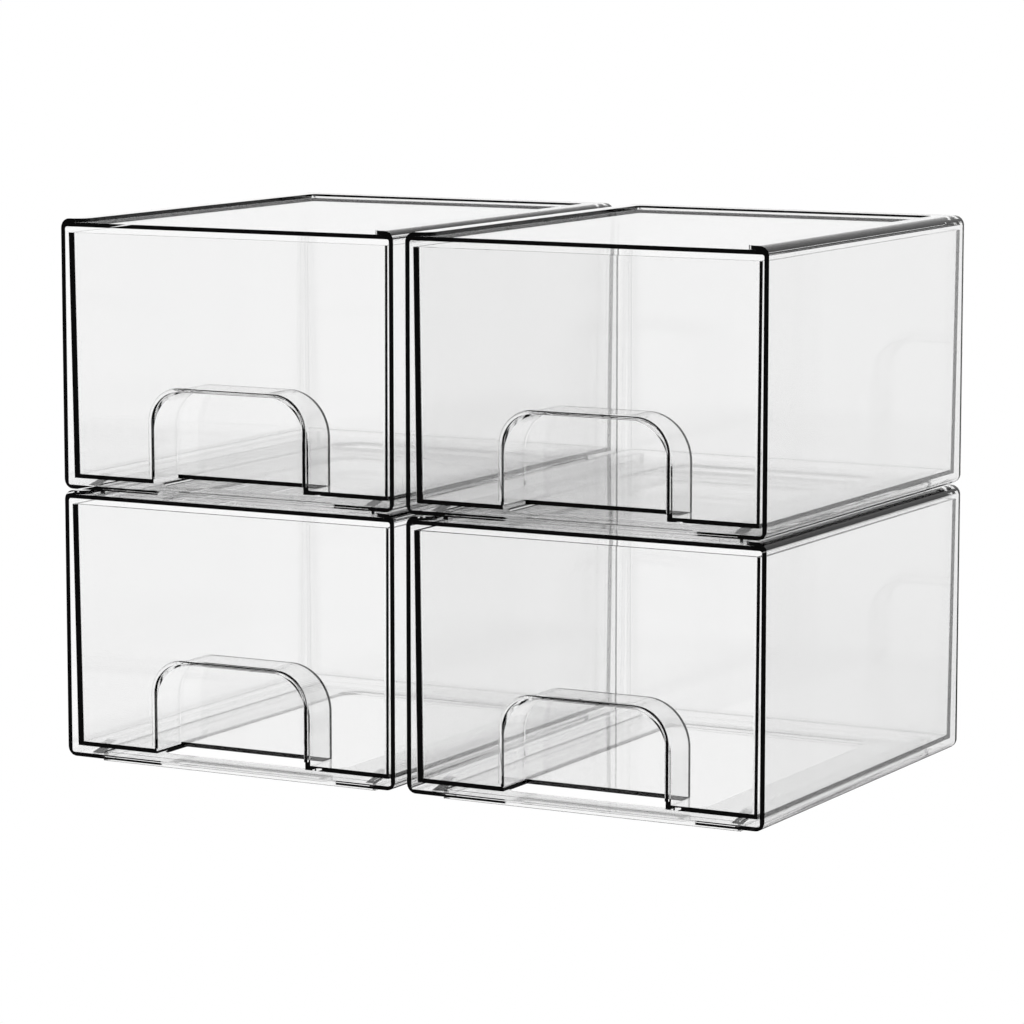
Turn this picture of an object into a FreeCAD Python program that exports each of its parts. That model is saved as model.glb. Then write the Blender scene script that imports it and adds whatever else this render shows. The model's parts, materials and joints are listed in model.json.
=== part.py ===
import FreeCAD, Part
import math
import os

# Four clear stacking drawer boxes, two wide and two high, in millimetres.
# X runs to the right, Y from the fronts to the backs and Z up.
# The origin is on the table, under the middle of the set.
# Each box is two mouldings: a case, which is a sleeve with a closed back, and a drawer.

# The set
column_names = ["left", "right"]
row_names = ["lower", "upper"]
column_gap = 5.8

# Case: outside sizes, from the underside of its floor to the top of its rim
case_width = 168.0
case_depth = 206.0
case_height = 119.6
case_side_wall = 2.0
case_back_wall = 2.0
case_floor = 1.8
case_top_panel = 1.8
case_long_edge_radius = 4.3
case_back_edge_radius = 3.4
case_inner_radius = 2.5
case_inner_back_radius = 1.6

# Case top: a raised rim at both sides and the back, round a recess that is open at the front
rim_width = 12.4
rim_height = 1.8
rim_corner_radius = 2.4

# Case underside: a bead that stands on the recessed panel of the box below, inside its rim
bead_height = 2.4
bead_width = 2.2
bead_clearance = 1.8
bead_front_setback = 6.4
bead_corner_radius = 3.2
bead_inner_corner_radius = 1.0
bead_notch_margin = 4.0

# Case floor: two runners that carry the drawer, each with a ramp at its front end
runner_inset = 12.2
runner_width = 4.2
runner_height = 2.6
runner_front_setback = 6.2
runner_back_setback = 14.0
runner_ramp = 5.0

# Drawer: an open tray whose walls lean in from the rim to the floor
drawer_wall = 1.8
drawer_floor = 1.7
drawer_lean = 0.85
drawer_side_clearance = 1.15
drawer_front_setback = 0.7
drawer_back_clearance = 1.1
drawer_top_clearance = 2.7
drawer_runner_clearance = 0.3
drawer_corner_radius = 2.8
drawer_inner_radius = 1.2
drawer_bottom_radius = 0.8

# Drawer front: an arched finger pocket, open to the front and below, closed behind
pocket_half_width = 39.3
pocket_back = 21.5
pocket_top = 46.9
pocket_arch_radius = 18.0
pocket_wall = 1.8

# Case floor below the pocket: a notch that lets the fingers in
notch_clearance = 1.0
notch_depth = 16.6
notch_corner_radius = 2.4

# Every cut runs this far past the face that it opens
overrun = 5.0

# An edge counts as lying in a plane when it is this near to it
plane_tolerance = 0.0001

# Levels in one box, from the underside of the case floor
recess_level = case_height - rim_height
ceiling_level = recess_level - case_top_panel
runner_level = case_floor + runner_height
drawer_bottom_level = runner_level + drawer_runner_clearance
drawer_top_level = ceiling_level - drawer_top_clearance

# Places in one box: its middle is at x = 0 and its front is at y = 0
half_width = case_width / 2
notch_half_width = pocket_half_width + notch_clearance

# A box in the upper row stands with its bead on the recessed panel of the box below
stack_pitch = recess_level + bead_height
column_pitch = case_width + column_gap


# A closed wire through the corners, in order, with each corner rounded by its own radius
def rounded_outline(corners, radii):
    turns = []
    for index, corner in enumerate(corners):
        back = (corners[index - 1] - corner).normalize()
        ahead = (corners[(index + 1) % len(corners)] - corner).normalize()
        half_angle = back.getAngle(ahead) / 2
        inward = (back + ahead).normalize()
        radius = radii[index]
        reach = radius / math.tan(half_angle)
        sagitta = radius / math.sin(half_angle) - radius
        turns.append((corner + back * reach, corner + inward * sagitta, corner + ahead * reach))
    edges = []
    for index, (start, middle, finish) in enumerate(turns):
        edges.append(Part.LineSegment(turns[index - 1][2], start).toShape())
        if radii[index] > 0:
            edges.append(Part.Arc(start, middle, finish).toShape())
    return Part.Wire(edges)


# A level outline at height z: the front corners have one radius and the back corners another
def plan_outline(half, front, back, z, front_radius, back_radius):
    corners = [
        FreeCAD.Vector(-half, front, z),
        FreeCAD.Vector(half, front, z),
        FreeCAD.Vector(half, back, z),
        FreeCAD.Vector(-half, back, z),
    ]
    return rounded_outline(corners, [front_radius, front_radius, back_radius, back_radius])


# An upright outline in the plane y: the lower corners have one radius and the upper another
def front_outline(half, bottom, top, y, lower_radius, upper_radius):
    corners = [
        FreeCAD.Vector(-half, y, bottom),
        FreeCAD.Vector(half, y, bottom),
        FreeCAD.Vector(half, y, top),
        FreeCAD.Vector(-half, y, top),
    ]
    return rounded_outline(corners, [lower_radius, lower_radius, upper_radius, upper_radius])


def raised(outline, height):
    return Part.Face(outline).extrude(FreeCAD.Vector(0, 0, height))


def run_back(outline, length):
    return Part.Face(outline).extrude(FreeCAD.Vector(0, length, 0))


# Rounds the edges that lie wholly in the plane y
def rounded_at_depth(solid, y, radius):
    edges = [edge for edge in solid.Edges if lies_at(edge.BoundBox.YMin, edge.BoundBox.YMax, y)]
    return solid.makeFillet(radius, edges)


# Rounds the edges that lie wholly at height z
def rounded_at_height(solid, z, radius):
    edges = [edge for edge in solid.Edges if lies_at(edge.BoundBox.ZMin, edge.BoundBox.ZMax, z)]
    return solid.makeFillet(radius, edges)


def lies_at(low, high, place):
    return abs(low - place) < plane_tolerance and abs(high - place) < plane_tolerance


def make_case_shell():
    outside = front_outline(half_width, 0, case_height, 0, case_long_edge_radius, case_long_edge_radius)
    sleeve = rounded_at_depth(run_back(outside, case_depth), case_depth, case_back_edge_radius)
    inside = front_outline(
        half_width - case_side_wall, case_floor, ceiling_level, -overrun, case_inner_radius, case_inner_radius
    )
    inside_back = case_depth - case_back_wall
    hollow = rounded_at_depth(run_back(inside, overrun + inside_back), inside_back, case_inner_back_radius)
    return sleeve.cut(hollow)


# The shallow recess in the top, which takes the bead of the box above
def make_recess():
    outline = plan_outline(
        half_width - rim_width, -overrun, case_depth - rim_width, recess_level, 0, rim_corner_radius
    )
    return raised(outline, rim_height + overrun)


def make_bead():
    half = half_width - rim_width - bead_clearance
    front = bead_front_setback
    back = case_depth - rim_width - bead_clearance
    outside = plan_outline(half, front, back, -bead_height, bead_corner_radius, bead_corner_radius)
    inside = plan_outline(
        half - bead_width,
        front + bead_width,
        back - bead_width,
        -bead_height,
        bead_inner_corner_radius,
        bead_inner_corner_radius,
    )
    gap_half = notch_half_width + bead_notch_margin
    gap_back = notch_depth + bead_notch_margin
    gap = plan_outline(gap_half, front - overrun, gap_back, -bead_height, 0, 0)
    return raised(outside, bead_height).cut(raised(inside, bead_height)).cut(raised(gap, bead_height))


# One runner on the case floor: side is -1 for the left one and 1 for the right one
def make_runner(side):
    outer = half_width - runner_inset
    x = -outer if side < 0 else outer - runner_width
    front = runner_front_setback
    back = case_depth - runner_back_setback
    corners = [
        FreeCAD.Vector(x, front, case_floor),
        FreeCAD.Vector(x, back, case_floor),
        FreeCAD.Vector(x, back, runner_level),
        FreeCAD.Vector(x, front + runner_ramp, runner_level),
    ]
    profile = Part.makePolygon(corners + corners[:1])
    return Part.Face(profile).extrude(FreeCAD.Vector(runner_width, 0, 0))


def make_notch():
    outline = plan_outline(
        notch_half_width, -overrun, notch_depth, -overrun, 0, notch_corner_radius
    )
    return raised(outline, overrun + case_floor + overrun)


def make_case():
    shell = make_case_shell().cut(make_recess()).cut(make_notch())
    return shell.fuse([make_bead(), make_runner(-1), make_runner(1)]).removeSplitter()


# A tray-shaped block whose sides lean: inset is measured in from the drawer's outer faces
def make_leaning_block(bottom, top, inset, radius):
    lean_rate = drawer_lean / (drawer_top_level - drawer_bottom_level)
    outlines = []
    for level in (bottom, top):
        lean = (drawer_top_level - level) * lean_rate + inset
        half = half_width - case_side_wall - drawer_side_clearance - lean
        front = drawer_front_setback + lean
        back = case_depth - case_back_wall - drawer_back_clearance - lean
        outlines.append(plan_outline(half, front, back, level, radius, radius))
    return Part.makeLoft(outlines, True, True)


# An arch that runs from in front of the drawer back into it, grown by a wall on every side
def make_arch(wall):
    outline = front_outline(
        pocket_half_width + wall,
        drawer_bottom_level - overrun,
        pocket_top + wall,
        -overrun,
        0,
        pocket_arch_radius + wall,
    )
    return run_back(outline, overrun + pocket_back + wall)


def make_drawer():
    block = make_leaning_block(drawer_bottom_level, drawer_top_level, 0, drawer_corner_radius)
    block = rounded_at_height(block, drawer_bottom_level, drawer_bottom_radius)
    hollow = make_leaning_block(
        drawer_bottom_level + drawer_floor, drawer_top_level + overrun, drawer_wall, drawer_inner_radius
    )
    hood = make_arch(pocket_wall).common(block)
    return block.cut(hollow).fuse(hood).cut(make_arch(0)).removeSplitter()


def main():
    os.makedirs("parts", exist_ok=True)
    pieces = {"case": make_case(), "drawer": make_drawer()}
    for row, row_name in enumerate(row_names):
        for column, column_name in enumerate(column_names):
            place = FreeCAD.Vector(
                (column - (len(column_names) - 1) / 2) * column_pitch,
                -case_depth / 2,
                bead_height + row * stack_pitch,
            )
            for piece_name, piece in pieces.items():
                name = f"{row_name}_{column_name}_{piece_name}"
                shape = piece.copy()
                shape.translate(place)
                shape.exportStep(f"parts/{name}.step")
                print(f"{name}: {len(shape.Solids)} solid, {shape.Volume:.0f} mm3, valid {shape.isValid()}")


main()
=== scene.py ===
import json
import math
import bmesh
import bpy
from mathutils import Matrix


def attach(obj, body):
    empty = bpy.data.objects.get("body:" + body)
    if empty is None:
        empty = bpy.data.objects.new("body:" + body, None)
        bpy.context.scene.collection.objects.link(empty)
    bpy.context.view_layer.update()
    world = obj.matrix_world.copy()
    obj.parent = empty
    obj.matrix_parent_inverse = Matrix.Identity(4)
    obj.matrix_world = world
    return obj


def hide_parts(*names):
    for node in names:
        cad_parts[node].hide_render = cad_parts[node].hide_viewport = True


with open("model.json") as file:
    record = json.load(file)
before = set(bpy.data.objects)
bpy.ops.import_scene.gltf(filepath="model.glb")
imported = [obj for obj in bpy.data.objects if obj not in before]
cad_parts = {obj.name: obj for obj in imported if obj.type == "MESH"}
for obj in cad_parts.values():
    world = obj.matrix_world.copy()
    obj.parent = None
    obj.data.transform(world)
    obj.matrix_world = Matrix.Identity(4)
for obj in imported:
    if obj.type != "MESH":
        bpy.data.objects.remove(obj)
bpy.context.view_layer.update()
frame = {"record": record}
print("frame loaded")

# Four clear boxes stand two wide and two high. Each is a case moulding with a drawer moulding that slides in
# it. Metres throughout. Both are shaped in the frame of one box, where x = 0 is its middle, y = 0 its front
# and z = 0 the underside of its floor, and copies are then moved to the places of the four.
meshing = {
    "over": 0.005,  # how far a cutting form runs past the face that it opens
    "bite": 0.0004,  # how far an added form reaches into the one that carries it
    "arc": 0.0008,  # the length of one step round a corner
    "fewest": 6,  # steps in the tightest corner
}


# Points round a closed outline, each corner rounded by its own radius in the same number of steps
def roundedOutline(corners, radii, steps):
    points = []
    for index, (corner, radius) in enumerate(zip(corners, radii)):
        if radius == 0:
            points.append(corner)
            continue
        x, y = corner
        backX, backY = unit(corners[index - 1], corner)
        onX, onY = unit(corners[(index + 1) % len(corners)], corner)
        inX, inY = unit((x + backX + onX, y + backY + onY), corner)
        halfAngle = math.acos(backX * onX + backY * onY) / 2
        away, reach = radius / math.sin(halfAngle), radius / math.tan(halfAngle)
        centreX, centreY = x + inX * away, y + inY * away
        start = math.atan2(y + backY * reach - centreY, x + backX * reach - centreX)
        sweep = math.pi - 2 * halfAngle
        turn = 1 if backX * onY - backY * onX < 0 else -1
        for step in range(steps + 1):
            angle = start + turn * sweep * step / steps
            points.append((centreX + radius * math.cos(angle), centreY + radius * math.sin(angle)))
    return points


def unit(towards, here):
    x, y = towards[0] - here[0], towards[1] - here[1]
    length = math.hypot(x, y)
    return x / length, y / length


def stepsFor(radius):
    return max(meshing["fewest"], round(radius * math.pi / 2 / meshing["arc"]))


def levelOutline(half, front, back, radius):
    corners = [(-half, front), (half, front), (half, back), (-half, back)]
    return roundedOutline(corners, [radius] * 4, stepsFor(radius))


# An upright ring of points at depth y, with one radius for its lower corners and another for its upper ones
def uprightRing(half, bottom, top, y, lowRadius, topRadius, steps):
    corners = [(-half, bottom), (half, bottom), (half, top), (-half, top)]
    return [(x, y, z) for x, z in roundedOutline(corners, [lowRadius] * 2 + [topRadius] * 2, steps)]


def newObject(name, data):
    made = bpy.data.objects.new(name, data)
    bpy.context.scene.collection.objects.link(made)
    return made


# A closed solid through rings of equal count, capped at both ends
def solidThrough(rings):
    shape = bmesh.new()
    rows = [[shape.verts.new(point) for point in ring] for ring in rings]
    for low, high in zip(rows, rows[1:]):
        for index in range(len(low)):
            after = (index + 1) % len(low)
            shape.faces.new((low[index], low[after], high[after], high[index]))
    shape.faces.new(reversed(rows[0]))
    shape.faces.new(rows[-1])
    bmesh.ops.recalc_face_normals(shape, faces=shape.faces)
    mesh = bpy.data.meshes.new("solid")
    shape.to_mesh(mesh)
    shape.free()
    return newObject("solid", mesh)


def raised(outline, bottom, top):
    return solidThrough([[(x, y, z) for x, y in outline] for z in (bottom, top)])


# Joins, cuts or intersects one solid with others, which are used up
def combine(solid, operation, *tools):
    for tool in tools:
        step = solid.modifiers.new("step", "BOOLEAN")
        step.operation, step.solver, step.object = operation, "EXACT", tool
    graph = bpy.context.evaluated_depsgraph_get()
    made = bpy.data.meshes.new_from_object(solid.evaluated_get(graph))
    solid.modifiers.clear()
    solid.data = made
    for tool in tools:
        bpy.data.objects.remove(tool)
    return solid


# The case: a sleeve with a closed back
case = {
    "width": 0.1684, "depth": 0.2065, "height": 0.1196,  # outside, the height up to the rim
    "wall": 0.00215, "floor": 0.0018, "panel": 0.00185,  # the panel is the top's, below the recess
    "longRadius": 0.0043, "backRadius": 0.0034,  # outside, along the depth and round the back
    "innerRadius": 0.001, "innerChamfer": 0.0009,  # inside, along the depth and round the back
}

# Its top: a rim at both sides and the back, round a recess that is open at the front
rim = {"width": 0.0115, "height": 0.0017, "cornerRadius": 0.0024, "mouthRadius": 0.0065}

recessLevel = case["height"] - rim["height"]
ceilingLevel = recessLevel - case["panel"]


# A ring of the case that is drawn in by an inset, its corners tightening with it
def caseRing(half, bottom, top, y, radius, inset):
    corner, steps = radius - inset, stepsFor(case["longRadius"])
    return uprightRing(half - inset, bottom + inset, top - inset, y, corner, corner, steps)


def makeSleeve():
    half, radius, steps = case["width"] / 2, case["backRadius"], stepsFor(case["longRadius"])
    outside = [caseRing(half, 0, case["height"], 0, case["longRadius"], 0)]
    for step in range(steps + 1):  # the back edges are rounded ring by ring
        angle = math.pi / 2 * step / steps
        inset, y = radius * (1 - math.cos(angle)), case["depth"] - radius * (1 - math.sin(angle))
        outside.append(caseRing(half, 0, case["height"], y, case["longRadius"], inset))
    innerHalf, innerBack, chamfer = half - case["wall"], case["depth"] - case["wall"], case["innerChamfer"]
    inside = [caseRing(innerHalf, case["floor"], ceilingLevel, y, case["innerRadius"], inset)
              for y, inset in ((-meshing["over"], 0), (innerBack - chamfer, 0), (innerBack, chamfer))]
    return combine(solidThrough(outside), "DIFFERENCE", solidThrough(inside))


# What is cut from the top inside the rim, whose two front ends flare outwards
def makeRecess():
    half, back, over = case["width"] / 2 - rim["width"], case["depth"] - rim["width"], meshing["over"]
    mouth, corner = rim["mouthRadius"], rim["cornerRadius"]
    reach = half + mouth + over
    corners = [(-reach, -over), (reach, -over), (reach, 0), (half, 0),
               (half, back), (-half, back), (-half, 0), (-reach, 0)]
    outline = roundedOutline(corners, [0, 0, 0, mouth, corner, corner, mouth, 0], stepsFor(mouth))
    return raised(outline, recessLevel, case["height"] + over)


# Below its floor: a bead that stands in the recess of the box below
bead = {"height": 0.0024, "width": 0.0018, "clearance": 0.0026, "setback": 0.007}


def makeBead():
    margin = rim["width"] + bead["clearance"]
    half, front, back = case["width"] / 2 - margin, bead["setback"], case["depth"] - margin
    ring = raised(levelOutline(half, front, back, 0), -bead["height"], meshing["bite"])
    width, over = bead["width"], meshing["over"]
    inside = raised(levelOutline(half - width, front + width, back - width, 0), -over, over)
    return combine(ring, "DIFFERENCE", inside)


# On its floor: two runners, each with a ramp at its front
runner = {"inset": 0.011, "width": 0.0052, "height": 0.0026, "front": 0.0024, "back": 0.014, "ramp": 0.013}


# One runner: side is -1 for the left one and 1 for the right one
def makeRunner(side):
    outer = case["width"] / 2 - runner["inset"]
    near, far = sorted((side * outer, side * (outer - runner["width"])))
    low, high = case["floor"] - meshing["bite"], case["floor"] + runner["height"]
    front, back = runner["front"], case["depth"] - runner["back"]
    rampEnd = front + runner["ramp"]
    profile = [(front, low), (back, low), (back, high), (rampEnd, high), (front, case["floor"])]
    return solidThrough([[(x, y, z) for y, z in profile] for x in (near, far)])


# In the middle of its floor: an opening
opening = {"half": 0.0481, "front": 0.017, "back": 0.1845, "radius": 0.009}


def makeOpening():
    outline = levelOutline(opening["half"], opening["front"], opening["back"], opening["radius"])
    return raised(outline, -meshing["over"], case["floor"] + meshing["over"])


def makeCase():
    shell = combine(makeSleeve(), "DIFFERENCE", makeRecess(), makeOpening())
    return combine(shell, "UNION", makeBead(), makeRunner(-1), makeRunner(1))


# The drawer: an open tray whose four walls lean in towards its floor
drawer = {
    "wall": 0.0022, "floor": 0.0017, "lean": 0.00085, "radius": 0.0006, "innerRadius": 0.0008,
    "runnerGap": 0.0003, "topGap": 0.0027, "sideGap": 0.001, "backGap": 0.00095,  # to the case around it
    "setback": 0.0007,  # how far its front stands behind the case's
}

drawerBottom = case["floor"] + runner["height"] + drawer["runnerGap"]
drawerTop = ceilingLevel - drawer["topGap"]


# A block of the drawer's leaning form: inset is measured in from its outer faces
def leaningBlock(bottom, top, inset, radius):
    rings = []
    for z in (bottom, top):
        lean = (drawerTop - z) * drawer["lean"] / (drawerTop - drawerBottom) + inset
        half = case["width"] / 2 - case["wall"] - drawer["sideGap"] - lean
        front, back = drawer["setback"] + lean, case["depth"] - case["wall"] - drawer["backGap"] - lean
        rings.append([(x, y, z) for x, y in levelOutline(half, front, back, radius)])
    return solidThrough(rings)


def makeBlock():
    return leaningBlock(drawerBottom, drawerTop, 0, drawer["radius"])


def makeHollow():
    bottom, top = drawerBottom + drawer["floor"], drawerTop + meshing["over"]
    return leaningBlock(bottom, top, drawer["wall"], drawer["innerRadius"])


# The finger pocket in the drawer's front: an arch, open to the front and below, whose two upper corners are
# rounder behind its mouth
pocket = {
    "half": 0.0383, "back": 0.0213, "top": 0.0457, "wall": 0.0018, "chamfer": 0.0012,
    "mouthRadius": 0.014, "tunnelRadius": 0.0182,
}


# An arch as large as the pocket, and larger by offset on every side but the lowest
def archRing(offset, bottom, y, radius):
    steps = stepsFor(pocket["tunnelRadius"])
    return uprightRing(pocket["half"] + offset, bottom, pocket["top"] + offset, y, 0, radius + offset, steps)


def makeHood():
    wall, chamfer, radius = pocket["wall"], pocket["chamfer"], pocket["tunnelRadius"]
    back = pocket["back"] + wall
    hood = solidThrough([
        archRing(wall, drawerBottom, 0, radius), archRing(wall, drawerBottom, back - chamfer, radius),
        archRing(wall - chamfer, drawerBottom + chamfer, back, radius)])
    return combine(hood, "INTERSECT", makeBlock())


# The pocket's lip: a half-round band that stands forward round its mouth and ends above the drawer's bottom
lip = {"radius": 0.00085, "depth": 0.0018, "end": 0.0036, "steps": 8}


# One side of the lip's section, ring by ring from its front: 1 is the outer side, which is added to the
# drawer and runs back to its front wall, and -1 is the inner side, which is cut from it
def lipSide(side, bottom):
    rings = []
    for step in range(1, lip["steps"] + 1):
        angle = math.pi / 2 * step / lip["steps"]
        offset = lip["radius"] * (1 + side * math.sin(angle))
        rings.append(archRing(offset, bottom, lip["radius"] * (1 - math.cos(angle)), pocket["mouthRadius"]))
    if side > 0:
        rings.append(archRing(offset, bottom, lip["depth"], pocket["mouthRadius"]))
    return solidThrough(rings)


# The pocket itself, which is cut out last: its mouth as deep as the lip, and its tunnel behind that
def makeMouth():
    below, ends = drawerBottom - meshing["over"], (-meshing["over"], lip["depth"] + meshing["bite"])
    return solidThrough([archRing(0, below, y, pocket["mouthRadius"]) for y in ends])


def makeTunnel():
    below, ends = drawerBottom - meshing["over"], (lip["depth"], pocket["back"])
    return solidThrough([archRing(0, below, y, pocket["tunnelRadius"]) for y in ends])


def makeDrawer():
    tray = combine(makeBlock(), "DIFFERENCE", makeHollow())
    tray = combine(tray, "UNION", makeHood(), lipSide(1, drawerBottom + lip["end"]))
    innerLip = lipSide(-1, drawerBottom - meshing["over"])
    return combine(tray, "DIFFERENCE", makeMouth(), makeTunnel(), innerLip)


mouldings = {"case": makeCase(), "drawer": makeDrawer()}
print("mouldings shaped")


class Link:
    # wraps a socket, so that shader maths reads as plain arithmetic
    def __init__(self, recipe, socket):
        self.recipe, self.socket = recipe, socket

    def maths(self, operation, *values):
        return self.recipe.node("ShaderNodeMath", {"operation": operation}, dict(enumerate(values)))

    def __add__(self, other):
        return self.maths("ADD", self, other)

    def __radd__(self, other):
        return self.maths("ADD", other, self)

    def __sub__(self, other):
        return self.maths("SUBTRACT", self, other)

    def __rsub__(self, other):
        return self.maths("SUBTRACT", other, self)

    def __mul__(self, other):
        return self.maths("MULTIPLY", self, other)

    def __rmul__(self, other):
        return self.maths("MULTIPLY", other, self)

    def __gt__(self, other):
        return self.maths("GREATER_THAN", self, other)


class Recipe:
    # the nodes of one material or world
    def __init__(self, owner, outputType):
        owner.use_nodes = True
        self.nodes, self.links = owner.node_tree.nodes, owner.node_tree.links
        self.nodes.clear()
        self.output = self.nodes.new(outputType)

    def node(self, kind, settings=None, values=None, out=0):
        made = self.nodes.new(kind)
        for name, value in (settings or {}).items():
            setattr(made, name, value)
        for name, value in (values or {}).items():
            if isinstance(value, Link):
                self.links.new(value.socket, made.inputs[name])
            else:
                made.inputs[name].default_value = value
        return Link(self, made.outputs[out])

    def ray(self, kind):
        return self.node("ShaderNodeLightPath", out=f"Is {kind} Ray")

    def finish(self, shader):
        self.links.new(shader.socket, self.output.inputs["Surface"])


def grey(tone):
    return (tone, tone, tone, 1)


clearPlastic = {
    "ior": 1.5, "clearest": 0.983, "dullest": 0.975, "flowScale": 9.0, "flowDetail": 2.0,
    "haze": 0.012, "hazeScale": 26.0, "hazeDetail": 4.0,
}
mixColours = {"low": 6, "high": 7, "result": 2}  # a Mix node's sockets for colours follow those for numbers


# Clear polished plastic: how much light it keeps back drifts a little along the flow of the moulding,
# and a trace of haze comes and goes over its polish
def makeClearPlastic(name, look):
    material = bpy.data.materials.new(name)
    recipe = Recipe(material, "ShaderNodeOutputMaterial")
    place = recipe.node("ShaderNodeTexCoord", out="Object")
    flow = recipe.node("ShaderNodeTexNoise", {}, {
        "Vector": place, "Scale": look["flowScale"], "Detail": look["flowDetail"]})
    haze = recipe.node("ShaderNodeTexNoise", {}, {
        "Vector": place, "Scale": look["hazeScale"], "Detail": look["hazeDetail"]})
    tint = recipe.node("ShaderNodeMix", {"data_type": "RGBA"}, {
        "Factor": flow, mixColours["low"]: grey(look["dullest"]), mixColours["high"]: grey(look["clearest"])},
        out=mixColours["result"])
    recipe.finish(recipe.node("ShaderNodeBsdfPrincipled", {}, {
        "Base Color": tint, "Roughness": haze * haze * look["haze"], "IOR": look["ior"],
        "Transmission Weight": 1.0}))
    return material


looks = {kind: makeClearPlastic(f"{kind}_plastic", clearPlastic) for kind in mouldings}
print("plastics mixed")

# The places of the four boxes: an upper one stands with its bead in the recess of the lower one
stack = {
    "columns": ("left", "right"), "rows": ("lower", "upper"), "gap": 0.0058,
    "lift": bead["height"], "pitch": recessLevel + bead["height"],
}


def stackMouldings():
    bodyOf = {node: body for body, nodes in frame["record"]["behaviour"]["bodies"].items() for node in nodes}
    pitch, middleColumn = case["width"] + stack["gap"], (len(stack["columns"]) - 1) / 2
    for rowIndex, row in enumerate(stack["rows"]):
        for columnIndex, column in enumerate(stack["columns"]):
            x, z = (columnIndex - middleColumn) * pitch, stack["lift"] + rowIndex * stack["pitch"]
            move = Matrix.Translation((x, -case["depth"] / 2, z))
            for kind, moulding in mouldings.items():
                node = f"{row}_{column}_{kind}"
                mesh = moulding.data.copy()
                mesh.transform(move)
                mesh.materials.append(looks[kind])
                piece = newObject(f"{node}_moulding", mesh)
                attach(piece, bodyOf[node])
                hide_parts(node)
    for moulding in mouldings.values():
        bpy.data.objects.remove(moulding)


stackMouldings()
print("boxes stacked")

# The white sweep stands behind the boxes, and the room in front of it and to its right is darker. What a
# clear wall mirrors outwards comes from there, while all that is seen directly or through a wall is white.
room = {
    "sweep": (-0.476, 0.88, 0), "dark": 0.08, "darkAt": 0.3, "whiteAt": 0.95,
    "floorSize": 6.0, "floorPaint": 0.8, "white": 1.0,
}


def roomShade(recipe, vector):
    mirrored = recipe.ray("Glossy") * (1 - recipe.ray("Transmission"))
    aim = recipe.node("ShaderNodeVectorMath", {"operation": "NORMALIZE"}, {0: vector})
    facing = recipe.node("ShaderNodeVectorMath", {"operation": "DOT_PRODUCT"}, {
        0: aim, 1: room["sweep"]}, out="Value")
    white = recipe.node("ShaderNodeMapRange", {}, {
        "Value": facing, "From Min": room["darkAt"], "From Max": room["whiteAt"], "To Min": room["dark"]})
    return 1 - mirrored * (1 - white)


# The floor is as white as the room wherever it is looked at, and its paint keeps the shadow for other rays
def makeFloor():
    half = room["floorSize"] / 2
    mesh = bpy.data.meshes.new("floor")
    corners = [(-half, -half, 0), (half, -half, 0), (half, half, 0), (-half, half, 0)]
    mesh.from_pydata(corners, [], [(0, 1, 2, 3)])
    material = bpy.data.materials.new("white_floor")
    recipe = Recipe(material, "ShaderNodeOutputMaterial")
    place = recipe.node("ShaderNodeNewGeometry", out="Position")
    glow = recipe.node("ShaderNodeEmission", {}, {
        "Color": grey(room["white"]), "Strength": roomShade(recipe, place)})
    paint = recipe.node("ShaderNodeBsdfDiffuse", {}, {"Color": grey(room["floorPaint"])})
    seen = recipe.ray("Camera") + recipe.ray("Glossy") + recipe.ray("Transmission") > 0.5  # any of the three
    recipe.finish(recipe.node("ShaderNodeMixShader", {}, {0: seen, 1: paint, 2: glow}))
    mesh.materials.append(material)
    newObject("floor", mesh)


def makeWorld():
    world = bpy.data.worlds.new("white_room")
    bpy.context.scene.world = world
    recipe = Recipe(world, "ShaderNodeOutputWorld")
    direction = recipe.node("ShaderNodeTexCoord", out="Generated")
    recipe.finish(recipe.node("ShaderNodeBackground", {}, {
        "Color": grey(room["white"]), "Strength": roomShade(recipe, direction)}))


camera = {
    "place": (0.89109, -1.64816, 0.37142), "tilt": 82.078, "turn": 28.452,  # metres and degrees
    "lens": 149.3, "sensor": 36.0,  # millimetres
    "farthest": 20,
}


def makeCamera():
    data = bpy.data.cameras.new("camera")
    data.lens, data.sensor_width, data.clip_end = camera["lens"], camera["sensor"], camera["farthest"]
    eye = newObject("camera", data)
    eye.location = camera["place"]
    eye.rotation_euler = (math.radians(camera["tilt"]), 0, math.radians(camera["turn"]))
    bpy.context.scene.camera = eye


makeFloor()
makeWorld()
makeCamera()

bounces = {"all": 32, "through": 32, "mirrored": 3}  # light that stays trapped inside a wall goes dark
scene = bpy.context.scene
scene.view_settings.view_transform = "Standard"
scene.cycles.max_bounces = bounces["all"]
scene.cycles.transmission_bounces = bounces["through"]
scene.cycles.glossy_bounces = bounces["mirrored"]
print("stage ready")
